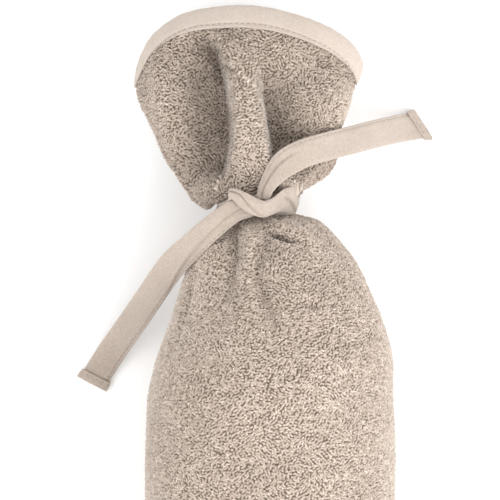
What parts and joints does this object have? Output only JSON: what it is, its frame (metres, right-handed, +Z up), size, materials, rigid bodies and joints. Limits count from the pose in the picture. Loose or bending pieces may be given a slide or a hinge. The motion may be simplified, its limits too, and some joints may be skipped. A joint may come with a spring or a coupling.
{
  "type": "hot-water bottle with a tied towelling pouch",
  "caption": "Round screw-cap hot-water bottle in a terry towelling pouch, tied at the neck with a flat cotton tape.",
  "frame": {"origin": "on the resting surface, under the middle of the pouch, which lies on its back", "axes": "+Y along the pouch to its open mouth, +X to its right seen from above, +Z up from the resting surface"},
  "size_m": [0.1494, 0.3404, 0.1045],
  "materials": {
    "towelling": "looped terry, matt",
    "cotton": "plain weave, matt",
    "steel": "satin",
    "cap_plastic": "moulded",
    "gasket_rubber": "moulded"
  },
  "bodies": {
    "pouch": {"pouch_front_panel": "towelling", "pouch_back_panel": "towelling", "mouth_binding": "cotton", "tie_neck_loop": "cotton", "tie_knot": "cotton", "bottle_body": "steel", "bottle_base": "steel", "bottle_neck_collar": "steel"},
    "left_tail": {"tie_left_tail": "cotton"},
    "right_tail": {"tie_right_tail": "cotton"},
    "cap_seal": {"cap_gasket": "gasket_rubber"},
    "cap": {"cap_shell": "steel", "cap_threaded_insert": "cap_plastic"}
  },
  "joints": [
    {"name": "left_tail_lift", "type": "hinge", "parent": "pouch", "child": "left_tail", "pos_m": [-0.01204, 0.08232, 0.06937], "axis": [-0.5992, 0.8006, 0], "range_deg": [0, 75]},
    {"name": "right_tail_lift", "type": "hinge", "parent": "pouch", "child": "right_tail", "pos_m": [0.00499, 0.09839, 0.0642], "axis": [0.7109, -0.7033, 0], "range_deg": [0, 75]},
    {"name": "cap_lift", "type": "slide", "parent": "pouch", "child": "cap_seal", "axis": [0, 1, 0], "range_m": [0, 0.01001]},
    {"name": "cap_turn", "type": "hinge", "parent": "cap_seal", "child": "cap", "pos_m": [0.0018, 0.04, 0.0515], "axis": [0, 1, 0], "range_deg": [0, 900]}
  ],
  "couplings": [
    {"joint": "cap_lift", "follows": "cap_turn", "m_per_rad": 0.00063662}
  ]
}
